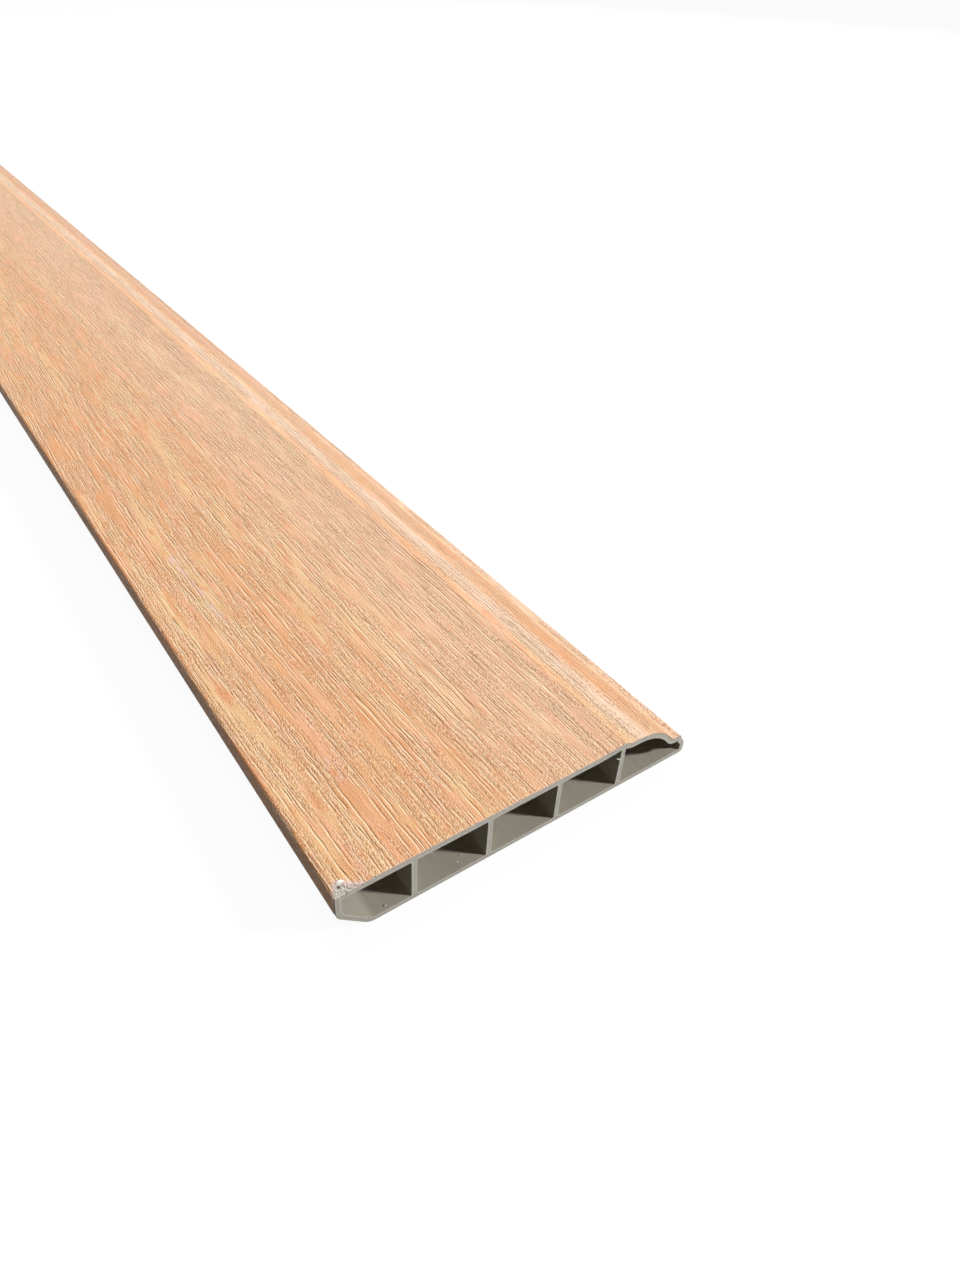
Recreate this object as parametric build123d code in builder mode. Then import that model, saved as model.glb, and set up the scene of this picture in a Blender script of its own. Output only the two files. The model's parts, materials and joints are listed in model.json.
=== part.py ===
from build123d import *
from math import radians, tan
import os

# Skirting board: a hollow extruded profile with a woodgrain film laminated over its face.
# All sizes are millimetres. The board lies on its flat back. X runs across its width, with the
# bottom edge at -X and the moulded top edge at +X. Y runs along its length and +Z points up
# from the back. The origin is on the back, at the middle of the width and of the length.

# Overall sizes, film included
LENGTH = 2500.0
WIDTH = 100.0
THICKNESS = 15.0

# Material
WALL = 1.4
RIB = 1.3
FILM = 0.2

# Ribs: the first stands near the bottom edge, the last under the bead, the others evenly between
RIB_COUNT = 4
FIRST_RIB_FROM_BOTTOM_EDGE = 18.4
CHAMBER_CORNER_RADIUS = 0.5
ON_RIB = 0.001  # how far a chamber's corner may lie from a rib's side

# Bottom edge: bevelled towards the wall, slightly eased towards the room
BEVEL = 7.4
BEVEL_CORNER_RADIUS = 4.0
FACE_CORNER_RADIUS = 0.6

# Bead: a low ridge with a long slope from the flat face and a short one to the ogee
BEAD_FROM_TOP_EDGE = 23.0
BEAD_HEIGHT = 0.5
BEAD_CREST = 1.0
BEAD_RISE_WIDTH = 7.0
BEAD_FALL_WIDTH = 2.3
BEAD_RADIUS = 2.0
BEAD_RISE_RADIUS = 20.0
BEAD_FALL_RADIUS = 3.0

# Ogee: a step down behind the bead, a convex shoulder, a cove, a lip and the rounded end
STEP_DEPTH = 0.5
SHOULDER_FROM_TOP_EDGE = 10.8
SHOULDER_DROP = 0.2
SHOULDER_RADIUS = 14.0
COVE_FROM_TOP_EDGE = 4.7
COVE_RADIUS = 3.0
LIP_FROM_TOP_EDGE = 2.4
LIP_HEIGHT = 6.7
LIP_RISE = 0.4
LIP_RADIUS = 0.6
FILM_PAST_LIP = 0.3
END_HEIGHT = 3.6
END_RADIUS = 3.0
HEEL_RADIUS = 1.2

# The extrusion's own limits, inside the film
bottom_edge = -WIDTH / 2 + FILM
top_edge = WIDTH / 2
face = THICKNESS - BEAD_HEIGHT - FILM
bead = top_edge - BEAD_FROM_TOP_EDGE
crest = face + BEAD_HEIGHT
step = face - STEP_DEPTH

# Corners of the outline, each with the radius that rounds it
bevel_to_side = ((bottom_edge, BEVEL), BEVEL_CORNER_RADIUS)
filmed_corners = [
    ((bottom_edge, face), FACE_CORNER_RADIUS),
    ((bead - BEAD_CREST / 2 - BEAD_RISE_WIDTH, face), BEAD_RISE_RADIUS),
    ((bead - BEAD_CREST / 2, crest), BEAD_RADIUS),
    ((bead + BEAD_CREST / 2, crest), BEAD_RADIUS),
    ((bead + BEAD_CREST / 2 + BEAD_FALL_WIDTH, step), BEAD_FALL_RADIUS),
    ((top_edge - SHOULDER_FROM_TOP_EDGE, step - SHOULDER_DROP), SHOULDER_RADIUS),
    ((top_edge - COVE_FROM_TOP_EDGE, LIP_HEIGHT - LIP_RISE), COVE_RADIUS),
    ((top_edge - LIP_FROM_TOP_EDGE, LIP_HEIGHT), LIP_RADIUS),
]
end_corners = [
    ((top_edge, END_HEIGHT), END_RADIUS),
    ((top_edge, 0), HEEL_RADIUS),
    ((bottom_edge + BEVEL, 0), BEVEL_CORNER_RADIUS),
]
outline_corners = [bevel_to_side] + filmed_corners + end_corners

# The film starts above the bevel's rounding and stops on the slope just past the lip
film_start = (bottom_edge, BEVEL + BEVEL_CORNER_RADIUS * tan(radians(45) / 2))
lip = Vector(top_edge - LIP_FROM_TOP_EDGE, LIP_HEIGHT)
end_corner = Vector(top_edge, END_HEIGHT)
lip_slope = (end_corner - lip).normalized()
film_end = lip + lip_slope * (LIP_RADIUS + FILM_PAST_LIP)

# Rib centres across the width
first_rib = bottom_edge + FIRST_RIB_FROM_BOTTOM_EDGE
rib_pitch = (bead - first_rib) / (RIB_COUNT - 1)
rib_centres = [(first_rib + index * rib_pitch, THICKNESS / 2) for index in range(RIB_COUNT)]

# Hollow extrusion: closed outline, with five chambers between the outer wall and the ribs
with BuildPart() as pvc_profile:
    with BuildSketch(Plane.XZ) as outline:
        with BuildLine():
            FilletPolyline(
                *[corner for corner, radius in outline_corners],
                radius=[radius for corner, radius in outline_corners],
                close=True,
            )
        make_face()
    extrude(amount=LENGTH / 2, both=True)
    with BuildSketch(Plane.XZ) as chambers:
        add(outline.face())
        offset(amount=-WALL, mode=Mode.REPLACE)
        with Locations(*rib_centres):
            Rectangle(RIB, THICKNESS, mode=Mode.SUBTRACT)
        rib_sides = [x + side * RIB / 2 for x, z in rib_centres for side in (-1, 1)]
        rib_corners = [
            vertex
            for vertex in chambers.vertices()
            if min(abs(vertex.X - x) for x in rib_sides) < ON_RIB
        ]
        # The last rib's upper corners run into the underside of the bead and stay sharp
        rounded_corners = [
            vertex for vertex in rib_corners if vertex.X < bead - RIB or vertex.Y < END_HEIGHT
        ]
        fillet(rounded_corners, CHAMBER_CORNER_RADIUS)
    extrude(amount=LENGTH / 2, both=True, mode=Mode.SUBTRACT)

# Woodgrain film: one thin skin from the bottom edge, over the face and the ogee, to the lip
with BuildPart() as woodgrain_film:
    with BuildSketch(Plane.XZ):
        with BuildLine() as laminated:
            FilletPolyline(
                film_start,
                *[corner for corner, radius in filmed_corners],
                film_end,
                radius=[radius for corner, radius in filmed_corners],
            )
            offset(amount=FILM, side=Side.LEFT, closed=True)
        make_face()
    extrude(amount=LENGTH / 2, both=True)

os.makedirs("parts", exist_ok=True)
for piece, name in ((pvc_profile, "pvc_profile"), (woodgrain_film, "woodgrain_film")):
    piece.part.label = name
    export_step(piece.part, f"parts/{name}.step")
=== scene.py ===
# %% [markdown]
# # A hollow skirting board with a woodgrain film
# The real thing is one long extrusion of grey plastic. Its section has five open chambers between
# four ribs, a bevelled bottom edge and a small ogee along the top edge. A thin embossed film,
# printed like pale oak, is laminated over the face.
#
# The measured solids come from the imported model. They are exact, but their round stretches have few
# facets, so this lesson draws both pieces again, finer, on the same lines.

# %% Load the measured board
import cmath
import json
import math
import random

import bpy
from mathutils import Matrix, Vector, noise

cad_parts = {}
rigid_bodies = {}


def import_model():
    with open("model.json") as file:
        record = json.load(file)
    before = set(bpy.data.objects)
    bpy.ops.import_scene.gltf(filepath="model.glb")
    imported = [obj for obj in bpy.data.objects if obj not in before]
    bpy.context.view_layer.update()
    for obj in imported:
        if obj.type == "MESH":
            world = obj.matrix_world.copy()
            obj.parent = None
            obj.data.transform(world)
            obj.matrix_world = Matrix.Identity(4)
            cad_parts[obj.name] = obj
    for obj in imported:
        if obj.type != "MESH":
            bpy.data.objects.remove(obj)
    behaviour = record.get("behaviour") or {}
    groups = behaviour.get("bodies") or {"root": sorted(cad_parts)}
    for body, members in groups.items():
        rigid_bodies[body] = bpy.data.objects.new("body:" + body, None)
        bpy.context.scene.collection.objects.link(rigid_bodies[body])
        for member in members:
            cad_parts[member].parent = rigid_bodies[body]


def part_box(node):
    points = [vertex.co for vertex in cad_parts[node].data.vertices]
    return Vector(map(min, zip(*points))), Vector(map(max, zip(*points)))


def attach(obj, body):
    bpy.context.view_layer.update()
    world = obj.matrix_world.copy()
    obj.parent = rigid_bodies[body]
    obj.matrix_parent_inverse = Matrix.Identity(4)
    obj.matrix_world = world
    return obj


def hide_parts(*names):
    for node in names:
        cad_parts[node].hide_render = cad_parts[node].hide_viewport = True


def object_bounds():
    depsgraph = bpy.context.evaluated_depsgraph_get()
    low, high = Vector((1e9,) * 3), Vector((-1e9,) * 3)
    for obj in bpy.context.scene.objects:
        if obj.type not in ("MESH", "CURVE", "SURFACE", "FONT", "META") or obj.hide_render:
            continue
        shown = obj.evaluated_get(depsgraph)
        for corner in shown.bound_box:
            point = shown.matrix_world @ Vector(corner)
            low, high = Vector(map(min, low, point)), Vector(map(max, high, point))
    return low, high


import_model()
cad_low, cad_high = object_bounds()
profile_low, profile_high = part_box("pvc_profile")

MM = 0.001
near_end, far_end = cad_low.y, cad_high.y
film = profile_low.x - cad_low.x
print("board in mm", [round(size / MM, 2) for size in cad_high - cad_low])
print("film in mm", round(film / MM, 3))

# %% [markdown]
# ## The section, as corners and radii
# A moulding is drawn once, as a section, and everything else follows from it. Each corner is a
# place and a radius. Points could be traced along the curve instead, but corners with radii stay
# easy to read and to change, and they can be moved inwards or outwards by a wall's thickness.
#
# The places are complex numbers, x across the board plus height times j, because turning and
# scaling a direction is then plain multiplication.

# %% Section sizes
bottom_edge, top_edge = profile_low.x, profile_high.x
wall, rib, rib_count = 1.4 * MM, 1.3 * MM, 4
first_rib = bottom_edge + 18.4 * MM
rib_corner_radius = 0.5 * MM
bevel, bevel_radius = 7.4 * MM, 4.0 * MM
bead = top_edge - 23.0 * MM
bead_height, bead_crest = 0.5 * MM, 1.0 * MM
bead_rise_width, bead_fall_width = 7.0 * MM, 2.3 * MM
face = profile_high.z - bead_height
step = face - 0.5 * MM
shoulder = complex(top_edge - 10.8 * MM, step - 0.2 * MM)
cove = complex(top_edge - 4.7 * MM, 6.3 * MM)
lip = complex(top_edge - 2.4 * MM, 6.7 * MM)
heel = complex(top_edge, 3.6 * MM)
film_past_lip = 0.3 * MM

# %% The rounding of each corner
face_corner_radius = 0.6 * MM
bead_rise_radius, bead_radius, bead_fall_radius = 20.0 * MM, 2.0 * MM, 3.0 * MM
shoulder_radius, cove_radius, lip_radius = 14.0 * MM, 3.0 * MM, 0.6 * MM
end_radius, heel_radius = 3.0 * MM, 1.2 * MM
cove_radius_inside = 3.9 * MM  # not the full 4.4, for which the stretch up to the lip is short
sharp = 0.04 * MM

bevel_corner = (complex(bottom_edge, bevel), bevel_radius)
filmed_corners = [
    (complex(bottom_edge, face), face_corner_radius),
    (complex(bead - bead_crest / 2 - bead_rise_width, face), bead_rise_radius),
    (complex(bead - bead_crest / 2, profile_high.z), bead_radius),
    (complex(bead + bead_crest / 2, profile_high.z), bead_radius),
    (complex(bead + bead_crest / 2 + bead_fall_width, step), bead_fall_radius),
    (shoulder, shoulder_radius),
    (cove, cove_radius),
    (lip, lip_radius),
]
end_corners = [
    (heel, end_radius),
    (complex(top_edge, 0), heel_radius),
    (complex(bottom_edge + bevel, 0), bevel_radius),
]
outline = [bevel_corner] + filmed_corners + end_corners
print(len(outline), "corners in the outline")


# %% Helpers that turn, offset and measure a chain of corners
def heading(start, end):
    """The direction from one place to another, as a complex number of length one."""
    return (end - start) / abs(end - start)


def turn_at(chain, index):
    """How far the chain turns at a corner: negative is to the right."""
    before, here, after = chain[index - 1][0], chain[index][0], chain[(index + 1) % len(chain)][0]
    return cmath.phase(heading(here, after) / heading(before, here))


def offset_loop(loop, distance):
    """A closed loop moved to its right by a distance, with its radii grown or shrunk to match."""
    moved = []
    for index, (place, radius) in enumerate(loop):
        into = heading(loop[index - 1][0], place)
        turn = turn_at(loop, index)
        shift = distance * -1j * into * (1 + 1j * math.tan(turn / 2))
        new_radius = radius - distance if turn < 0 else radius + distance
        moved.append((place + shift, max(new_radius, sharp)))
    return moved


def offset_path(path, distance):
    """An open path moved to its right: its two ends move square to their stretch."""
    moved = offset_loop(path, distance)
    first, last = path[0][0], path[-1][0]
    moved[0] = (first - 1j * distance * heading(first, path[1][0]), sharp)
    moved[-1] = (last - 1j * distance * heading(path[-2][0], last), sharp)
    return moved


def on_line(start, end, x):
    """The place at x on the line through two places."""
    return start + (end - start) * (x - start.real) / (end.real - start.real)


# %% [markdown]
# ## Five chambers between four ribs
# The hollow follows the outline at the wall's thickness, and each rib cuts it. The chambers could
# be cut with booleans, but here they are loops too, worked out from the same corners, so that the
# cut end can later get its fine rims.

# %% Chamber loops
(bevel_in, face_in, foot_in, crest_in, crest_out, foot_out,
 shoulder_in, cove_in, lip_in, heel_in, base_in, bevel_base) = offset_loop(outline, wall)
rib_pitch = (bead - first_rib) / (rib_count - 1)
rib_sides = [
    (first_rib + index * rib_pitch - rib / 2, first_rib + index * rib_pitch + rib / 2)
    for index in range(rib_count)
]


def by_rib(x, z):
    """A chamber's corner against a rib."""
    return (complex(x, z), rib_corner_radius)


def plain_chamber(left, right):
    """A four-cornered chamber between two ribs, clockwise from its lower left corner."""
    ceiling = face - wall
    return [by_rib(left, wall), by_rib(left, ceiling), by_rib(right, ceiling), by_rib(right, wall)]


first_right = rib_sides[0][0]
bead_left, bead_right = rib_sides[-2][1], rib_sides[-1][0]
last_left = rib_sides[-1][1]
chambers = [
    [bevel_in, face_in, by_rib(first_right, face - wall), by_rib(first_right, wall), bevel_base],
    plain_chamber(rib_sides[0][1], rib_sides[1][0]),
    plain_chamber(rib_sides[1][1], rib_sides[2][0]),
    [
        by_rib(bead_left, wall),
        by_rib(bead_left, face - wall),
        foot_in,
        (on_line(foot_in[0], crest_in[0], bead_right), sharp),
        by_rib(bead_right, wall),
    ],
    [
        by_rib(last_left, wall),
        (on_line(crest_out[0], foot_out[0], last_left), sharp),
        foot_out,
        shoulder_in,
        (cove_in[0], cove_radius_inside),
        lip_in,
        heel_in,
        base_in,
    ],
]
for number, chamber in enumerate(chambers, 1):
    xs = [place.real / MM for place, radius in chamber]
    print("chamber", number, "from", round(min(xs), 2), "to", round(max(xs), 2), "mm")

# %% [markdown]
# ## Drawing a section by hand
# In Blender such a section is drawn with a single vertex as the pen. Extrude pulls an edge to where
# a round corner begins, and Spin turns the last vertex round the corner's centre. Vertex Bevel
# would be quicker, but its curve isn't a true arc on a corner that isn't square, and the film has
# to lie on the plastic without a gap.
#
# The pen starts as a small plane whose corners are merged to one point. A finished line is kept as
# a vertex group, so that it can be picked again by name.

# %% The pen
ARC_STEP = math.radians(6)
SHARP_ANGLE = math.radians(30)


def pull(x, y, z):
    """Extrudes what is selected by a distance."""
    bpy.ops.mesh.extrude_region_move(TRANSFORM_OT_translate={"value": (x, y, z)})


def arcs_of(chain, closed=True):
    """Each corner's arc: where it starts, its centre, how far it turns and where it ends."""
    arcs = []
    for index, (place, radius) in enumerate(chain):
        into = heading(chain[index - 1][0], place)
        turn = turn_at(chain, index)
        start = place - into * radius * math.tan(abs(turn) / 2)
        centre = start + radius * into * (1j if turn > 0 else -1j)
        arcs.append((start, centre, turn, centre + (start - centre) * cmath.exp(1j * turn)))
    if not closed:
        for index in (0, -1):
            place = chain[index][0]
            arcs[index] = (place, place, 0, place)
    return arcs


def draw(chain, y, name, closed=True, stride=None):
    """Draws a chain of rounded corners at a place along the board and keeps it as a group.

    With a stride, straight runs are made of steps of about that length."""
    bpy.ops.mesh.select_all(action="DESELECT")
    arcs = arcs_of(chain, closed)
    pen = arcs[-1][3] if closed else arcs[0][0]
    bpy.ops.mesh.primitive_plane_add(size=MM, location=(pen.real, y, pen.imag))
    bpy.ops.mesh.merge(type="CENTER")
    for start, centre, turn, end in arcs:
        run = start - pen
        pieces = max(1, round(abs(run) / stride)) if stride else 1
        for piece in range(pieces if abs(run) > sharp / 10 else 0):
            pull(run.real / pieces, 0, run.imag / pieces)
        if turn:
            steps = max(2, round(abs(turn) / ARC_STEP))
            bpy.ops.mesh.spin(
                steps=steps, angle=turn, center=(centre.real, y, centre.imag), axis=(0, 1, 0)
            )
        pen = end
    bpy.ops.mesh.select_linked()
    bpy.ops.mesh.remove_doubles(threshold=sharp / 20)
    bpy.context.object.vertex_groups.new(name=name)
    bpy.ops.object.vertex_group_assign()


def pick(*names):
    """Selects the lines that were kept under these names, and nothing else."""
    bpy.ops.mesh.select_all(action="DESELECT")
    for name in names:
        bpy.ops.object.vertex_group_set_active(group=name)
        bpy.ops.object.vertex_group_select()


def start_piece(name):
    """An empty mesh object at the origin, in edit mode, with nothing else selected."""
    bpy.ops.object.select_all(action="DESELECT")
    bpy.ops.mesh.primitive_plane_add(size=MM)
    piece = bpy.context.object
    piece.name = name
    piece.data.name = name
    bpy.ops.object.mode_set(mode="EDIT")
    bpy.ops.mesh.delete(type="VERT")
    return piece


def end_piece(piece):
    """Recalculates the normals, drops the groups and smooths the round stretches."""
    bpy.ops.mesh.select_all(action="SELECT")
    bpy.ops.mesh.normals_make_consistent(inside=False)
    bpy.ops.mesh.select_all(action="DESELECT")
    bpy.ops.object.mode_set(mode="OBJECT")
    if piece.vertex_groups:
        bpy.ops.object.vertex_group_remove(all=True)
    bpy.ops.object.shade_smooth_by_angle(angle=SHARP_ANGLE)
    print(piece.name, len(piece.data.vertices), "vertices", len(piece.data.polygons), "faces")


# %% [markdown]
# ## Finishes, as node trees
# A finish is a small tree of nodes. Building one by hand means placing a node, setting its numbers
# and pulling wires, so two helpers do just that. One adds any node, and one adds a Math node, which
# is used most. A pattern reads the piece's own coordinates in millimetres, so that every size in a
# finish can be written as it would be measured on the board.


# %% Node helpers
def add_node(tree, kind, inputs=(), output=0, **settings):
    """Adds a node, sets or wires its inputs and returns one of its outputs."""
    made = tree.nodes.new(kind)
    for name, value in settings.items():
        setattr(made, name, value)
    for name, value in dict(inputs).items():
        if isinstance(value, bpy.types.NodeSocket):
            tree.links.new(value, made.inputs[name])
        else:
            made.inputs[name].default_value = value
    return made.outputs[output]


def calc(tree, operation, *values):
    """A Math node on up to three numbers or sockets."""
    return add_node(tree, "ShaderNodeMath", enumerate(values), operation=operation)


def new_finish(name, roughness, specular=0.5):
    """A material with a Principled shader: returns it with its tree and its shader."""
    finish = bpy.data.materials.new(name)
    finish.use_nodes = True
    shader = finish.node_tree.nodes["Principled BSDF"]
    shader.inputs["Roughness"].default_value = roughness
    shader.inputs["Specular IOR Level"].default_value = specular
    return finish, finish.node_tree, shader


def place_in_mm(tree):
    """The piece's own coordinates in millimetres."""
    coordinates = add_node(tree, "ShaderNodeTexCoord", output="Object")
    return add_node(
        tree, "ShaderNodeVectorMath", {0: coordinates, "Scale": 1 / MM}, operation="SCALE"
    )


def stretch(tree, vector, *sizes):
    """Divides a vector by sizes, so that a pattern of size one becomes that large."""
    return add_node(tree, "ShaderNodeVectorMath", {0: vector, 1: sizes}, operation="DIVIDE")


def clouds(tree, vector, *sizes, detail=2.0, roughness=0.5, dimensions="3D"):
    """Noise from 0 to 1 with features of the given sizes."""
    inputs = {"Vector": stretch(tree, vector, *sizes), "Scale": 1.0}
    inputs.update({"Detail": detail, "Roughness": roughness})
    return add_node(tree, "ShaderNodeTexNoise", inputs, noise_dimensions=dimensions)


def ramp(tree, value, low, high):
    """0 at one value and 1 at another, which may be the smaller, with a soft start and end."""
    limits = {"Value": value, "From Min": low, "From Max": high}
    return add_node(tree, "ShaderNodeMapRange", limits, interpolation_type="SMOOTHSTEP")


def blend_colours(tree, factor, first, second):
    """Mixes two colours, which may be sockets."""
    return add_node(
        tree, "ShaderNodeMix", {0: factor, 6: first, 7: second}, output=2, data_type="RGBA"
    )


def relief(tree, height, depth, shader):
    """Turns a height into a bump on the shader, so many millimetres deep for a height of one."""
    inputs = {"Height": height, "Distance": depth * MM, "Strength": 1.0}
    bump = add_node(tree, "ShaderNodeBump", inputs)
    tree.links.new(bump, shader.inputs["Normal"])


def rgb(red, green, blue):
    """A colour as a picture shows it, 0 to 255, turned into light."""
    def light(value):
        value /= 255
        return value / 12.92 if value <= 0.04045 else ((value + 0.055) / 1.055) ** 2.4
    return (light(red), light(green), light(blue), 1.0)


# %% [markdown]
# ## Grey plastic: drawn, sawn, burred, torn and melted
# The same plastic shows several finishes. Where it slid through the die it is satin, with faint
# lines along its length. Where it was sawn it is matt, mottled and scratched. Along the chambers'
# edges the blade left a burr, and stressed plastic turns paler there. At the corner it is torn, and
# a little of it melted and set white. One finish with masks could hold them all, but small ones are
# easier to follow and are put on by face.

# %% The five plastics
def pvc_finish(name, roughness, colours, spot_sizes, streak_sizes, depth):
    """Plastic with spots and streaks between two colours, and a relief of them. Sizes in mm."""
    finish, tree, shader = new_finish(name, roughness, 0.25)
    where = place_in_mm(tree)
    spots = clouds(tree, where, *spot_sizes, detail=3)
    streaks = clouds(tree, where, *streak_sizes, detail=2)
    shade = calc(tree, "MULTIPLY_ADD", streaks, 0.5, calc(tree, "MULTIPLY", spots, 0.5))
    colour = blend_colours(tree, ramp(tree, shade, 0.36, 0.64), rgb(*colours[0]), rgb(*colours[1]))
    tree.links.new(colour, shader.inputs["Base Color"])
    relief(tree, shade, depth, shader)
    return finish


drawn_pvc = pvc_finish(
    "drawn_pvc", 0.42, [(184, 178, 164), (191, 185, 172)], (6, 30, 6), (0.9, 300, 0.9), 0.012
)
sawn_pvc = pvc_finish(
    "sawn_pvc", 0.6, [(212, 207, 194), (228, 223, 211)], (0.7, 0.7, 0.7), (0.25, 0.25, 2.5), 0.03
)
burr_pvc = pvc_finish(
    "burr_pvc", 0.5, [(214, 211, 200), (244, 242, 234)], (0.6, 0.6, 0.6), (0.2, 0.2, 0.4), 0.03
)
torn_pvc = pvc_finish(
    "torn_pvc", 0.45, [(172, 167, 153), (210, 205, 192)], (0.9, 0.9, 0.9), (0.3, 0.3, 0.3), 0.03
)
# Melted plastic, set white, and painted whiter still as painted light for the sliver, which hangs in
# shade
melted_pvc_painted_light = pvc_finish(
    "melted_pvc_painted_light", 0.35, [(248, 248, 236), (254, 254, 248)], (1, 1, 1), (0.3, 0.3, 0.3), 0.02
)
print([finish.name for finish in (drawn_pvc, sawn_pvc, burr_pvc, torn_pvc, melted_pvc_painted_light)])

# %% [markdown]
# ## The extrusion and its sawn ends
# The skin and the chamber walls are bridged from end to end. At each end a few more rings make what
# a saw leaves: an outer corner that is slightly rubbed off, a flat land, and a fine burr that
# stands round each chamber. A plain cap would look like a computer's cut.

# %% Rings at both ends
ends = {"near": (near_end, 1), "far": (far_end, -1)}
# For each ring, how far it lies from its section's line towards the wall's middle, and how deep
outer_rings = {"skin": (0, 0.16 * MM), "rim": (0.10 * MM, 0.05 * MM)}
chamber_rings = {
    "land": (0.42 * MM, 0.05 * MM),
    "crest": (0.20 * MM, 0),
    "edge": (-0.02 * MM, 0.04 * MM),
    "wall": (0, 0.30 * MM),
}
LENGTHWISE_CUTS = 24

extrusion = start_piece("pvc_extrusion")
DRAWN, SAWN, BURRED = range(3)
for finish in (drawn_pvc, sawn_pvc, burr_pvc):
    extrusion.data.materials.append(finish)
for end, (y, inward) in ends.items():
    for ring, (inset, depth) in outer_rings.items():
        draw(offset_loop(outline, inset), y + inward * depth, f"{end}_{ring}")
    for ring, (outset, depth) in chamber_rings.items():
        for number, chamber in enumerate(chambers):
            draw(offset_loop(chamber, -outset), y + inward * depth, f"{end}_{ring}_{number}")
print(len(extrusion.vertex_groups), "rings")


# %% Bridge and fill them
def bridge(first, second, finish, cuts=0):
    """Bridges two kept lines and gives the new faces a finish, by its place in the list."""
    pick(first, second)
    bpy.ops.mesh.bridge_edge_loops(number_cuts=cuts, interpolation="LINEAR")
    bpy.context.object.active_material_index = finish
    bpy.ops.object.material_slot_assign()


for end in ends:
    bridge(f"{end}_skin", f"{end}_rim", SAWN)
    for number in range(len(chambers)):
        bridge(f"{end}_land_{number}", f"{end}_crest_{number}", BURRED)
        bridge(f"{end}_crest_{number}", f"{end}_edge_{number}", BURRED)
        bridge(f"{end}_edge_{number}", f"{end}_wall_{number}", DRAWN)
    pick(f"{end}_rim", *[f"{end}_land_{number}" for number in range(len(chambers))])
    bpy.ops.mesh.fill(use_beauty=True)
    extrusion.active_material_index = SAWN
    bpy.ops.object.material_slot_assign()
bridge("near_skin", "far_skin", DRAWN, LENGTHWISE_CUTS)
for number in range(len(chambers)):
    bridge(f"near_wall_{number}", f"far_wall_{number}", DRAWN, LENGTHWISE_CUTS)
end_piece(extrusion)
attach(extrusion, "root")
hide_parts("pvc_profile")

# %% [markdown]
# ## The woodgrain film as a sheet
# The film is a printed foil, pressed with grooves and glued over the face while the plastic is
# warm. It could be thickened from the extrusion's own faces, but it needs finer steps near the cut,
# where the saw tore it. So its outer line is drawn on its own, pulled into a sheet and made solid
# inwards.

# %% Draw the outer line and pull it along the board
above_bevel = bevel + bevel_radius * math.tan(math.radians(45) / 2)
film_start = complex(bottom_edge, above_bevel)
film_end = lip + heading(lip, heel) * (lip_radius + film_past_lip)
film_line = [(film_start, sharp)] + filmed_corners + [(film_end, sharp)]
film_outside = offset_path(film_line, -film)
FILM_STRIDE = 0.35 * MM

board_length = far_end - near_end
edge_rows = [0.25 * MM, 0.6 * MM, 1.2 * MM, 2.2 * MM, 4 * MM, 8 * MM, 14 * MM]
long_rows = [board_length * (index / LENGTHWISE_CUTS) for index in range(1, LENGTHWISE_CUTS)]
far_rows = [board_length - depth for depth in reversed(edge_rows)]
row_depths = edge_rows + long_rows + far_rows + [board_length]

skin = start_piece("oak_film")
draw(film_outside, near_end, "near_line", closed=False, stride=FILM_STRIDE)
bpy.ops.mesh.select_all(action="SELECT")
depth = 0
for next_depth in row_depths:
    pull(0, next_depth - depth, 0)
    depth = next_depth
bpy.ops.object.mode_set(mode="OBJECT")
print(len(skin.data.polygons), "faces in the sheet,", len(row_depths), "rows")


# %% [markdown]
# ## Where the saw tore the film
# Under a magnifier, a sawn film has a fine ragged edge, and at the bottom corner it is torn back by
# almost three millimetres. Each point of the first rows is moved along the board by noise and by
# the tear, as one would with proportional editing, and the sheet is then thickened.

# %% Torn and ragged edges
TEAR = [  # x, and how far back the film is torn there, in millimetres
    (-50.0, 0.2), (-49.4, 0.9), (-49.0, 2.0), (-48.2, 2.8), (-47.0, 2.6), (-46.3, 1.9),
    (-45.5, 1.3), (-44.6, 0.4), (-44.2, 0.0),
]
RAGGED_REACH = 10 * MM
LEAST_FRAYED, FRAYED, CHIPPED, UNEVEN_TEAR = 0.04, 0.05, 0.7, 0.12


def step_along(table, value):
    """Reads a value off a short table of places and amounts."""
    for (start, low), (end, high) in zip(table, table[1:]):
        if start <= value <= end:
            return low + (high - low) * (value - start) / (end - start)
    return table[0][1] if value < table[0][0] else table[-1][1]


def torn_by(place, torn):
    """How far back the film's edge lies at a place of its section, with or without the tear."""
    # A number that changes all along the edge, on the side as well as on the face
    along = place.x / MM * 2.3 + place.z / MM * 1.9
    chips = max(0, noise.noise(Vector((along * 0.55, 3, 7))) - 0.25) * CHIPPED
    depth = LEAST_FRAYED + FRAYED * abs(noise.noise(Vector((along * 2.1, 1, 4)))) + chips
    if torn and place.x < TEAR[-1][0] * MM:
        unevenness = 1 + UNEVEN_TEAR * noise.noise(Vector((along, 5, 5)))
        depth += step_along(TEAR, place.x / MM) * unevenness
    return depth * MM


for vertex in skin.data.vertices:
    for y, inward in ends.values():
        reach = abs(vertex.co.y - y) / RAGGED_REACH
        if reach < 1:
            vertex.co.y += inward * torn_by(vertex.co, y == near_end) * (1 - reach)
# The sheet faces outwards, so an offset of -1 makes it thicker inwards alone
bpy.ops.object.modifier_add(type="SOLIDIFY")
skin.modifiers["Solidify"].thickness = film
skin.modifiers["Solidify"].offset = -1
skin.modifiers["Solidify"].use_even_offset = True
bpy.ops.object.modifier_apply(modifier="Solidify")
bpy.ops.object.mode_set(mode="EDIT")
end_piece(skin)
print("film from", [round(c / MM, 3) for c in min((v.co.x, v.co.z) for v in skin.data.vertices)])

# %% [markdown]
# ## The printed grain is measured round the section
# The print was flat before it was glued on. If its pattern read plain x, it would smear down the
# side and the ogee, so each point keeps its distance along the section, its girth, as an attribute
# that the finish reads. A UV map would do as well, but one number says it all here. A second
# attribute says how frayed the film is close to the cut, where the print has turned pale.

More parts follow.
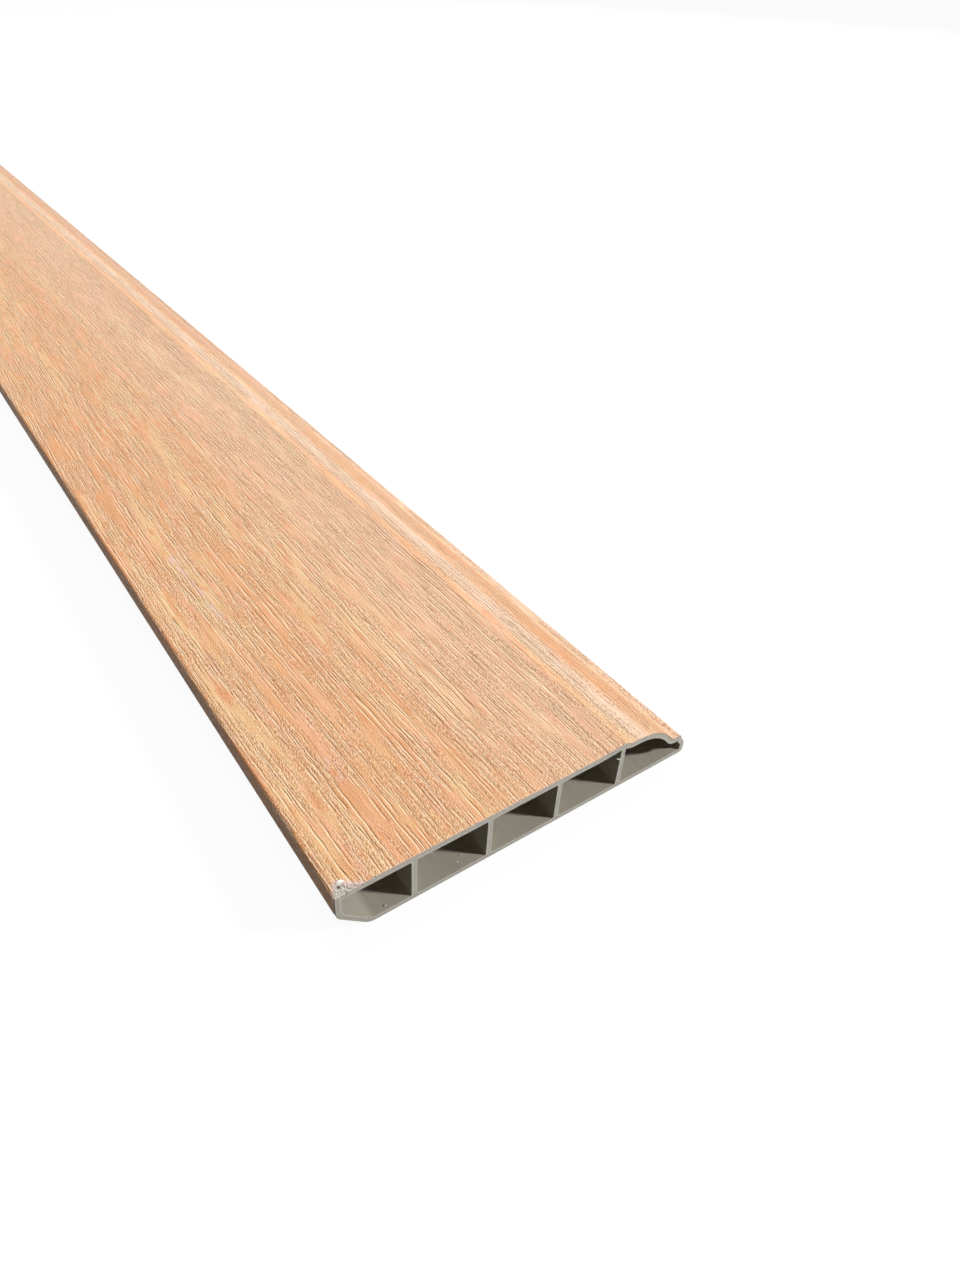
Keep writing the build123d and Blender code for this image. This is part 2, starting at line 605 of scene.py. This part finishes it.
# %% Store the girth
stops = []
for start, centre, turn, end in arcs_of(film_outside, closed=False):
    steps = max(1, round(abs(turn) / ARC_STEP))
    for count in range(steps + 1):
        stops.append(centre + (start - centre) * cmath.exp(1j * turn * count / steps))


def girth_at(x, z):
    """The distance along the film's outer line from the bottom edge's x, where it is nearest."""
    place, nearest, walked, girth = complex(x, z), 1.0, stops[0].real, 0.0
    for start, end in zip(stops, stops[1:]):
        length = abs(end - start)
        if length:
            along = ((place - start) / (end - start)).real
            along = min(1, max(0, along))
            gap = abs(place - start - along * (end - start))
            if gap < nearest:
                nearest, girth = gap, walked + along * length
            walked += length
    return girth


side_height = abs(film_outside[1][0] - film_outside[0][0])
known = {}
girths = skin.data.attributes.new("girth", "FLOAT", "POINT")
for vertex, stored in zip(skin.data.vertices, girths.data):
    spot = (round(vertex.co.x, 6), round(vertex.co.z, 6))
    if spot not in known:
        known[spot] = girth_at(*spot) - side_height
    stored.value = known[spot]
print("girth in mm", [round(limit(known.values()) / MM, 1) for limit in (min, max)])

# %% Store how frayed the film is near the cut
AT_TEAR, ELSEWHERE = 1.4 * MM, 0.2 * MM
TEAR_ENDS, SIDE_ENDS = -43 * MM, 12 * MM
frayed = skin.data.attributes.new("frayed", "FLOAT", "POINT")
for vertex, stored in zip(skin.data.vertices, frayed.data):
    at_tear = vertex.co.x < TEAR_ENDS and vertex.co.z > SIDE_ENDS
    from_edge = vertex.co.y - near_end - torn_by(vertex.co, True)
    stored.value = max(0, 1 - from_edge / (AT_TEAR if at_tear else ELSEWHERE))
print(sum(stored.value > 0 for stored in frayed.data), "frayed points")

# %% [markdown]
# ## The printed and embossed oak
# Look at such a film from close by and there are two layers. The print has broad bands from pink to
# straw, fine fibres along the board, and brown and cream crumbs in groups. The embossing is pressed
# into it: grooves a few tenths of a millimetre wide and half a centimetre to four centimetres long,
# in groups, with smooth patches between. Each groove gets a bump, and beside it a painted highlight
# on its left flank and painted shade on its right flank, as a light from the right would give them.
#
# Stretched noise alone looks like brushed metal. Here each groove is the middle line of one cell of
# a Voronoi pattern, so it has a beginning, an end and a real width, and noise only bends it.

# %% The film's own thickness, where it is cut
film_core = pvc_finish(
    "film_core", 0.5, [(186, 146, 116), (222, 190, 164)], (0.7, 0.7, 0.7), (0.25, 0.25, 0.25), 0.01
)

# %% Film coordinates: girth across, y along, both in millimetres
oak_print, oak, oak_shader = new_finish("oak_print", 0.50, 0.12)
girth = add_node(oak, "ShaderNodeAttribute", output="Fac", attribute_name="girth")
across = calc(oak, "DIVIDE", girth, MM)
along = add_node(oak, "ShaderNodeSeparateXYZ", {0: place_in_mm(oak)}, output="Y")
along = calc(oak, "SUBTRACT", along, near_end / MM)

# Towards the bottom edge the grain sways slowly from side to side
SWAY, SWAY_LENGTH = 3.2, 85
swing = calc(oak, "MULTIPLY", calc(oak, "SINE", calc(oak, "DIVIDE", along, SWAY_LENGTH)), SWAY)
lean = calc(oak, "MULTIPLY", swing, ramp(oak, across, 10, -50))
flat = add_node(oak, "ShaderNodeCombineXYZ", {0: calc(oak, "ADD", across, lean), 1: along})


def grain(vector, width, length, detail=2, roughness=0.5):
    """Flat noise with features so wide across the board and so long along it."""
    return clouds(
        oak, vector, width, length, 1, detail=detail, roughness=roughness, dimensions="2D"
    )


def shifted(vector, push):
    """A vector moved by another one."""
    return add_node(oak, "ShaderNodeVectorMath", {0: vector, 1: push}, operation="ADD")


def bent(vector, amount, width, length, seed=0):
    """A flat vector moved across the grain by noise, by at most about this amount."""
    sway = calc(oak, "SUBTRACT", grain(shifted(vector, (seed, seed, 0)), width, length, 1), 0.5)
    push = add_node(oak, "ShaderNodeCombineXYZ", {0: calc(oak, "MULTIPLY", sway, 2 * amount)})
    return shifted(vector, push)


fibre_place = bent(bent(flat, 1.4, 30, 140), 0.30, 2.2, 7, seed=31)


# %% Strokes, each with two flanks: where each begins, is full, fades and ends beside its middle
HOLLOW = (-0.40, -0.02, 0.02, 0.20)
# The two flanks are not bumps: they mark where a cream highlight and a brown shade are painted, as a
# light from the right would give them
PAINTED_HIGHLIGHT_BAND = (-0.42, -0.26, -0.12, 0.02)
PAINTED_SHADE_BAND = (-0.04, 0.06, 0.12, 0.32)


def strokes(vector, spacing, length, seed):
    """One stroke in each cell: the distance to the right of its middle, and how full it is."""
    cells = stretch(oak, shifted(vector, (seed, seed, 0)), spacing, length, 1)
    middle = add_node(
        oak, "ShaderNodeTexVoronoi", {"Vector": cells, "Scale": 1.0}, output="Position",
        voronoi_dimensions="2D",
    )
    offset = add_node(oak, "ShaderNodeVectorMath", {0: cells, 1: middle}, operation="SUBTRACT")
    sideways = add_node(oak, "ShaderNodeSeparateXYZ", {0: offset})
    endways = calc(oak, "ABSOLUTE", add_node(oak, "ShaderNodeSeparateXYZ", {0: offset}, output="Y"))
    return calc(oak, "MULTIPLY", sideways, spacing), ramp(oak, endways, 0.5, 0.3)


def band(value, start, full, fade, end):
    """1 between two values, fading to 0 on both sides."""
    return calc(oak, "MULTIPLY", ramp(oak, value, start, full), ramp(oak, value, end, fade))


def groove(vector, spacing, length, seed, mask):
    """A pressed groove's hollow, and where its left flank gets a painted highlight and its right
    flank painted shade.
    """
    sideways, fullness = strokes(vector, spacing, length, seed)
    fullness = calc(oak, "MULTIPLY", fullness, mask)
    return [
        calc(oak, "MULTIPLY", band(sideways, *limits), fullness)
        for limits in (HOLLOW, PAINTED_HIGHLIGHT_BAND, PAINTED_SHADE_BAND)
    ]


# %% Long and short grooves
groups = ramp(oak, grain(flat, 3.0, 60, detail=1), 0.38, 0.52)
wear = ramp(oak, grain(fibre_place, 0.9, 6), 0.30, 0.55)
rough = ramp(oak, grain(flat, 4.0, 26), 0.36, 0.56)
long_mask = calc(oak, "MULTIPLY", groups, wear)
short_mask = calc(oak, "MULTIPLY", rough, calc(oak, "MULTIPLY", wear, 0.85))
long_groove = groove(fibre_place, 1.0, 46, 3, long_mask)
short_groove = groove(fibre_place, 1.15, 9, 17, short_mask)
hollow, painted_highlight_flank, painted_shade_flank = [calc(oak, "MAXIMUM", *both) for both in zip(long_groove, short_groove)]

# %% Crumbs, grit, fibres and streaks
CRUMB_SLANT = -0.30
slant_x = calc(oak, "MULTIPLY_ADD", along, CRUMB_SLANT, across)
slanted = add_node(oak, "ShaderNodeCombineXYZ", {0: slant_x, 1: along})
crumbs = calc(oak, "SUBTRACT", grain(slanted, 0.34, 0.95, roughness=0.65), 0.5)
crumbs = calc(oak, "MULTIPLY", crumbs, calc(oak, "MULTIPLY_ADD", rough, 0.80, 0.34))
grit = grain(flat, 0.3, 0.45, detail=1)
fibres = grain(fibre_place, 0.6, 16, detail=3, roughness=0.6)
streaks = grain(fibre_place, 1.7, 26)
speckle = calc(oak, "MULTIPLY_ADD", grain(flat, 0.35, 0.35), 1.6, -0.8)
frayed_film = add_node(oak, "ShaderNodeAttribute", output="Fac", attribute_name="frayed")
frayed_film = calc(oak, "ADD", frayed_film, speckle)


# %% Two old scuffs on the face
SCUFF_HALF_WIDTH = 0.5
scuff_gaps = ramp(oak, grain(flat, 0.9, 4, detail=3), 0.40, 0.66)


def scuff(start_x, start_y, end_x, end_y):
    """A broken streak between two places, each given by x and by its distance from the cut."""
    slope = (end_x - start_x) / (end_y - start_y)
    middle = calc(oak, "MULTIPLY_ADD", along, slope, start_x - slope * start_y)
    beside = calc(oak, "SUBTRACT", across, middle)
    sideways = [share * SCUFF_HALF_WIDTH for share in (-3, -1, 1, 3)]
    lengthways = (start_y - 3, start_y, end_y, end_y + 4)
    streak = calc(oak, "MULTIPLY", band(beside, *sideways), band(along, *lengthways))
    return calc(oak, "MULTIPLY", streak, scuff_gaps)


# %% The print's colours, with painted sheen and shade, each laid over the last where its pattern says so
straw, tan, orange, pink = (244, 201, 151), (237, 178, 130), (235, 162, 112), (245, 185, 145)
deep, painted_shade_brown, cream = (200, 139, 94), (158, 98, 60), (255, 229, 193)
painted_sheen, painted_ogee_shade, shaded_side = (252, 223, 200), (206, 148, 106), (202, 130, 76)
painted_far_ogee_shade, whitened, scuffed = (196, 150, 126), (230, 208, 200), (240, 206, 198)

broad = grain(flat, 9, 150, detail=3)
patches = grain(flat, 3.4, 30, detail=3, roughness=0.6)
colour = blend_colours(oak, ramp(oak, broad, 0.40, 0.66), rgb(*tan), rgb(*straw))
colour = blend_colours(oak, ramp(oak, patches, 0.46, 0.66), colour, rgb(*pink))
away_from_cut = ramp(oak, along, 90, 420)
layers = [
    (ramp(oak, grain(flat, 2.2, 9), 0.50, 0.72), 0.70, orange),
    # Painted sheen, paler over the face's right half and on the flat beside the bead
    (band(across, -16.0, 14.0, 25.0, 29.0), 0.33, painted_sheen),
    (band(across, 28.5, 32.0, 33.5, 36.5), 0.85, painted_sheen),
    # Painted shade, darker and more orange, over the ogee
    (band(across, 35.0, 38.5, 43.5, 47.5), 0.70, painted_ogee_shade),
    # Painted sheen at the lip
    (ramp(oak, across, 46.5, 49.0), 0.75, painted_sheen),
    # Painted shade on the film down the side
    (ramp(oak, across, -48.8, -49.9), 0.65, shaded_side),
    # Painted shade on the ogee, growing away from the cut
    (calc(oak, "MULTIPLY", ramp(oak, across, 36.0, 39.0), away_from_cut), 0.60, painted_far_ogee_shade),
    (ramp(oak, fibres, 0.48, 0.75), 0.45, deep),
    (ramp(oak, streaks, 0.52, 0.70), 0.20, deep),
    (ramp(oak, crumbs, 0.02, 0.17), 0.75, deep),
    (ramp(oak, crumbs, -0.02, -0.17), 0.60, cream),
    # Painted shade on each groove's right flank, and a painted highlight on its left flank
    (painted_shade_flank, 0.60, painted_shade_brown),
    (painted_highlight_flank, 0.65, cream),
    (ramp(oak, frayed_film, 0.30, 0.55), 0.85, whitened),
    (scuff(-33.8, 95, -35.7, 130), 0.70, scuffed),
    (scuff(-34.3, 28, -34.7, 34), 0.70, scuffed),
]
for pattern, strength, printed in layers:
    colour = blend_colours(oak, calc(oak, "MULTIPLY", pattern, strength), colour, rgb(*printed))
oak.links.new(colour, oak_shader.inputs["Base Color"])
print(len(layers), "layers over the ground colour")

# %% The embossing, with each pattern's rise in millimetres
height = calc(oak, "MULTIPLY", grit, 0.20)
for pattern, rise in ((hollow, -0.14), (crumbs, -0.30), (fibres, 0.08)):
    height = calc(oak, "MULTIPLY_ADD", pattern, rise, height)
relief(oak, height, 1.0, oak_shader)
print(len(oak.nodes), "nodes in the oak print")

# %% Put both finishes on the film: its cut edges show its core
CORE = 1
FACING_AN_END = 0.6
skin.data.materials.append(oak_print)
skin.data.materials.append(film_core)
for surface in skin.data.polygons:
    surface.select = abs(surface.normal.y) > FACING_AN_END
bpy.ops.object.mode_set(mode="EDIT")
skin.active_material_index = CORE
bpy.ops.object.material_slot_assign()
bpy.ops.mesh.select_all(action="DESELECT")
bpy.ops.object.mode_set(mode="OBJECT")
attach(skin, "root")
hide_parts("woodgrain_film")
core_faces = sum(surface.material_index == CORE for surface in skin.data.polygons)
print(core_faces, "faces show the film's core")

# %% [markdown]
# ## The torn corner
# The blade left the board at its bottom corner and pulled film and plastic with it. A chip is gone
# from the edge, with two small pits, and rags of plastic lie in it. Sculpt mode would do this by
# hand. Here round lumps are strewn where the rags are and voxel remeshed into one skin, because
# that gives the soft, joined shapes of torn plastic, and the same ones each time.

# %% Lumps that are joined into one skin
dice = random.Random(11)


def lump(x, y, z, *half_sizes):
    """Adds a lump: x and z on the board, y from the cut and its half sizes, in millimetres."""
    bpy.ops.mesh.primitive_ico_sphere_add(
        subdivisions=2,
        radius=1,
        location=(x * MM, near_end + y * MM, z * MM),
        scale=[size * MM for size in half_sizes],
    )


def lumps_into_skin(piece, voxel, finish, rough_by, rough_size=0.3, smoothing=0):
    """Joins a piece's lumps by a voxel remesh, roughens them and keeps them in the board's box."""
    bpy.ops.object.mode_set(mode="OBJECT")
    bpy.ops.object.modifier_add(type="REMESH")
    piece.modifiers["Remesh"].mode = "VOXEL"
    piece.modifiers["Remesh"].voxel_size = voxel * MM
    bpy.ops.object.modifier_apply(modifier="Remesh")
    texture = bpy.data.textures.new(piece.name, "CLOUDS")
    texture.noise_scale = rough_size * MM
    bpy.ops.object.modifier_add(type="DISPLACE")
    piece.modifiers["Displace"].texture = texture
    piece.modifiers["Displace"].strength = rough_by * MM
    bpy.ops.object.modifier_apply(modifier="Displace")
    if smoothing:
        bpy.ops.object.modifier_add(type="SMOOTH")
        piece.modifiers["Smooth"].iterations = smoothing
        bpy.ops.object.modifier_apply(modifier="Smooth")
    for vertex in piece.data.vertices:
        vertex.co.x = max(vertex.co.x, cad_low.x)
        vertex.co.y = max(vertex.co.y, near_end)
        vertex.co.z = min(vertex.co.z, cad_high.z)
    piece.data.materials.append(finish)
    bpy.ops.object.shade_smooth()
    print(piece.name, len(piece.data.polygons), "faces")


def on_board(piece):
    """A bit of the same plastic, which moves with the board."""
    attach(piece, "root")


# %% The cutter for the chip and its two pits
BARE = profile_high.z / MM - bead_height / MM  # how high the plastic lies where its film is gone
BITES = [  # x, y and radius
    (-49.3, 0.0, 0.5), (-48.8, 0.2, 0.75), (-48.2, 0.3, 0.9), (-47.6, 0.2, 0.75),
    (-47.1, 0.1, 0.45), (-48.5, 1.0, 0.65), (-48.0, 1.6, 0.5), (-47.5, 1.0, 0.45),
]
PITS = [  # x, y and half the width
    (-47.75, 2.15, 0.42), (-48.15, 1.65, 0.26),
]
PAST_THE_CUT = 0.5 * MM
chip = start_piece("chip")
for x, y, radius in BITES:
    lump(x, y, BARE + 0.25, radius, radius, radius)
for x, y, half_width in PITS:
    lump(x, y, BARE, half_width, 0.2, 0.9)
lumps_into_skin(chip, 0.1, torn_pvc, 0.2)
# Its skin now ends at the cut, and a cutter has to reach beyond what it cuts
for vertex in chip.data.vertices:
    if vertex.co.y < near_end + 0.2 * MM:
        vertex.co.y -= PAST_THE_CUT

# %% Cut them out of the extrusion
bpy.ops.object.select_all(action="DESELECT")
bpy.context.view_layer.objects.active = extrusion
extrusion.select_set(True)
bpy.ops.object.modifier_add(type="BOOLEAN")
extrusion.modifiers["Boolean"].object = chip
extrusion.modifiers["Boolean"].operation = "DIFFERENCE"
extrusion.modifiers["Boolean"].material_mode = "TRANSFER"
bpy.ops.object.modifier_apply(modifier="Boolean")
bpy.ops.object.shade_smooth_by_angle(angle=SHARP_ANGLE)
print("extrusion with its chip", len(extrusion.data.polygons), "faces")
bpy.ops.object.select_all(action="DESELECT")
chip.select_set(True)
bpy.ops.object.delete()

# %% Rags of plastic in the chip, and along the chamber's edge
RAGS = [  # x, y, height over the bare plastic, and radius
    (-48.9, 0.35, -0.55, 0.34), (-48.75, 0.7, -0.35, 0.32), (-48.6, 1.05, -0.2, 0.28),
    (-47.9, 0.3, -0.7, 0.42), (-47.5, 0.35, -0.55, 0.36), (-47.1, 0.2, -0.75, 0.34),
    (-46.9, 0.15, -0.5, 0.26), (-46.6, 0.12, -0.2, 0.2), (-49.35, 0.25, -0.9, 0.3),
    (-47.0, 0.9, -0.05, 0.22), (-47.2, 1.4, 0, 0.2), (-47.4, 1.8, 0, 0.2),
    (-48.5, 1.45, 0, 0.25), (-48.7, 1.9, 0, 0.22),
]
IN_THE_CHIP, AT_THE_CHAMBER = 90, 22
rags = start_piece("torn_corner")
for x, y, rise, radius in RAGS:
    lump(x, y, BARE + rise, radius * 1.1, radius * 0.8, radius)
for count in range(IN_THE_CHIP):
    x, y = dice.uniform(-49.3, -46.6), dice.uniform(0.15, 1.5)
    radius = dice.uniform(0.18, 0.34)
    z = BARE - 0.7 + 0.45 * y + dice.uniform(-0.1, 0.1)
    lump(x, y, z, radius, radius, radius)
for count in range(AT_THE_CHAMBER):
    x, radius = dice.uniform(-48.4, -46.2), dice.uniform(0.1, 0.24)
    y, z = dice.uniform(0.1, 0.5), BARE - 1.35 + dice.uniform(-0.1, 0.2)
    lump(x, y, z, radius, radius, radius)
lumps_into_skin(rags, 0.07, torn_pvc, 0.1, 0.5, smoothing=6)
on_board(rags)

# %% The melted bead beside the pits
MELT = [  # x, y, height over the bare plastic, and half sizes
    (-47.25, 2.8, 0.22, 0.75, 0.42, 0.4),
    (-46.75, 2.75, 0.2, 0.5, 0.34, 0.34),
    (-47.7, 2.75, 0.12, 0.4, 0.3, 0.3),
]
bead_of_melt = start_piece("melted_bead")
for x, y, rise, *half_sizes in MELT:
    lump(x, y, BARE + rise, *half_sizes)
lumps_into_skin(bead_of_melt, 0.05, melted_pvc_painted_light, 0.05)
on_board(bead_of_melt)

# %% Crumbs of film and glue on the bare corner
CRUMBS_TRIED, BY_THE_TEAR = 240, 0.45
BARE_BEYOND = -46.7
crumb_finish = pvc_finish(
    "film_crumbs", 0.6, [(168, 138, 140), (244, 230, 222)], (0.3, 0.3, 0.3), (0.15, 0.15, 0.15),
    0.02,
)
crumbs_left = start_piece("film_crumbs")
for count in range(CRUMBS_TRIED):
    x = dice.uniform(-49.2, -44.4)
    tear = step_along(TEAR, x)
    y = tear - abs(dice.gauss(0, 0.55)) + 0.1
    if y > 0.1 and (x > BARE_BEYOND or y > tear - BY_THE_TEAR):
        radius = dice.uniform(0.06, 0.15)
        lump(x, y, BARE + dice.uniform(0, 0.12), radius * 1.3, radius * 1.3, radius)
lumps_into_skin(crumbs_left, 0.04, crumb_finish, 0.03, 0.15)
on_board(crumbs_left)

# %% [markdown]
# ## What the saw left
# A sliver of plastic still hangs on the last rib, and a few crumbs of sawdust lie on the chamber
# floors. They are about a millimetre long at most, yet they are what makes a cut end look real.
# They are lumps joined by a voxel remesh as well, because a bevelled box would look machined.

# %% The sliver
SLIVER_LUMPS, SLIVER_REACH, SLIVER_HEIGHT, SLIVER_RISE = 8, 1.15, 10.15, 0.8
# Its white finish is melted plastic with painted light: the sliver hangs in the shade under the
# chamber's ceiling
sliver = start_piece("swarf_sliver")
sliver_root = rib_sides[-1][0] / MM + 0.1
for count in range(SLIVER_LUMPS):
    share = count / (SLIVER_LUMPS - 1)
    x, z = sliver_root - SLIVER_REACH * share, SLIVER_HEIGHT + SLIVER_RISE * share ** 1.5
    thickness = 0.2 - 0.1 * share
    lump(x, 0.14, z, 0.14, thickness, thickness)
lumps_into_skin(sliver, 0.04, melted_pvc_painted_light, 0.02, 0.2)
on_board(sliver)

# %% Crumbs of sawdust, each a large lump with a smaller one beside it
SAWDUST = [  # x, y and half size
    (-38.1, 1.0, 0.22), (-17.5, 3.2, 0.2), (-19.1, 2.0, 0.17), (8.6, 2.4, 0.12), (36.2, 1.7, 0.13),
]
sawdust = start_piece("sawdust_crumbs")
chamber_floor = wall / MM
for x, y, size in SAWDUST:
    lump(x, y, chamber_floor + size * 0.5, size * 1.3, size, size * 0.7)
    lump(x + size, y + size * 0.4, chamber_floor + size * 0.4, size * 0.7, size * 0.8, size * 0.5)
lumps_into_skin(sawdust, 0.04, burr_pvc, 0.06, 0.2)
on_board(sawdust)

# %% [markdown]
# ## Floor, light and camera
# The board lies on a plain white floor. A floor that is white by its own colour would throw so much
# light back that the plastic would bleach out. So its own colour is a dark grey, and rays from the
# camera see it lifted to white, with only a trace of the board's shadow.
#
# One small lamp stands to the front right, 35 degrees up, and throws the crisp shadows inside the
# chambers. Two wide lamps, one overhead and one behind to the right, and a faint warm sky soften
# them. A sky picture would light it as softly, but its shadows couldn't be placed one by one.

# %% Rays that see the background as white
def white_seen_by(tree):
    """1 for rays that see the background: the camera's own, reflected and refracted ones."""
    rays = tree.nodes.new("ShaderNodeLightPath").outputs
    seen = calc(tree, "MAXIMUM", rays["Is Camera Ray"], rays["Is Glossy Ray"])
    return calc(tree, "MAXIMUM", seen, rays["Is Transmission Ray"])


# %% Floor
FLOOR_SIZE, FLOOR_GLOW = 80.0, 0.95
WHITE, FLOOR_GREY, SHADOW_GREY = (1, 1, 1, 1), (0.1, 0.1, 0.1, 1), (0.06, 0.06, 0.06, 1)
bpy.ops.object.select_all(action="DESELECT")
bpy.ops.mesh.primitive_plane_add(size=FLOOR_SIZE, location=(0, 0, cad_low.z))
floor = bpy.context.object
floor.name = "floor"
bpy.ops.object.transform_apply(location=True)
floor_finish = bpy.data.materials.new("white_floor")
floor_finish.use_nodes = True
tree = floor_finish.node_tree
tree.nodes.clear()
matt = add_node(tree, "ShaderNodeBsdfDiffuse", {"Color": FLOOR_GREY})
glow = add_node(tree, "ShaderNodeEmission", {"Color": WHITE, "Strength": FLOOR_GLOW})
trace = add_node(tree, "ShaderNodeBsdfDiffuse", {"Color": SHADOW_GREY})
seen = add_node(tree, "ShaderNodeAddShader", {0: glow, 1: trace})
mixed = add_node(tree, "ShaderNodeMixShader", {0: white_seen_by(tree), 1: matt, 2: seen})
surface = tree.nodes.new("ShaderNodeOutputMaterial")
tree.links.new(mixed, surface.inputs["Surface"])
floor.data.materials.append(floor_finish)
print("floor", FLOOR_SIZE, "m wide")

# %% Sky
SKY_TINT, SKY_LIGHT = (1, 0.96, 0.88, 1), 0.055
sky = bpy.data.worlds.new("sky")
bpy.context.scene.world = sky
sky.use_nodes = True
tree = sky.node_tree
tree.nodes.clear()
fill = add_node(tree, "ShaderNodeBackground", {"Color": SKY_TINT, "Strength": SKY_LIGHT})
white = add_node(tree, "ShaderNodeBackground", {"Color": WHITE, "Strength": 1.0})
mixed = add_node(tree, "ShaderNodeMixShader", {0: white_seen_by(tree), 1: fill, 2: white})
surface = tree.nodes.new("ShaderNodeOutputWorld")
tree.links.new(mixed, surface.inputs["Surface"])
print("sky at", SKY_LIGHT)


# %% Lamps
cut_middle = Vector((0, near_end, face))


def soft_lamp(name, azimuth, elevation, distance, size, watts, colour=(1, 1, 1)):
    """A square lamp that looks at the cut, from an angle round it and a height in degrees."""
    lamp = bpy.data.lights.new(name, "AREA")
    lamp.shape = "SQUARE"
    lamp.size = size
    lamp.energy = watts
    lamp.color = colour
    holder = bpy.data.objects.new(name, lamp)
    bpy.context.scene.collection.objects.link(holder)
    a, e = math.radians(azimuth), math.radians(elevation)
    away = Vector((math.cos(a) * math.cos(e), math.sin(a) * math.cos(e), math.sin(e)))
    holder.location = cut_middle + distance * away
    holder.rotation_mode = "QUATERNION"
    holder.rotation_quaternion = away.to_track_quat("Z", "Y")


WARM_WHITE = (1, 0.985, 0.96)
soft_lamp("key_lamp", -39.7, 35, 3.5, 0.3, 96, WARM_WHITE)
soft_lamp("overhead_lamp", 80, 72, 3.0, 2.0, 44)
soft_lamp("back_lamp", 38, 26, 4.0, 1.6, 60)

# %% Camera, as fitted to the board's straight edges in the photograph
FOCAL_PIXELS, FRAME_HEIGHT, SENSOR = 860, 1280, 36.0
CAMERA_ROLL = math.radians(3.45)
camera_place = Vector((-88.9, near_end / MM - 93.5, 159.9)) * MM
camera_target = Vector((20.7, near_end / MM + 50.9, 14.5)) * MM
camera_data = bpy.data.cameras.new("camera")
camera_data.sensor_width = SENSOR
camera_data.lens = SENSOR * FOCAL_PIXELS / FRAME_HEIGHT
camera_data.clip_start = 10 * MM
camera = bpy.data.objects.new("camera", camera_data)
bpy.context.scene.collection.objects.link(camera)
level = (camera_target - camera_place).to_track_quat("-Z", "Y").to_matrix().to_4x4()
roll = Matrix.Rotation(CAMERA_ROLL, 4, "Z")
camera.matrix_world = Matrix.Translation(camera_place) @ level @ roll
bpy.context.scene.camera = camera
bpy.context.scene.view_settings.view_transform = "Standard"
print("focal length in mm", round(camera_data.lens, 2))
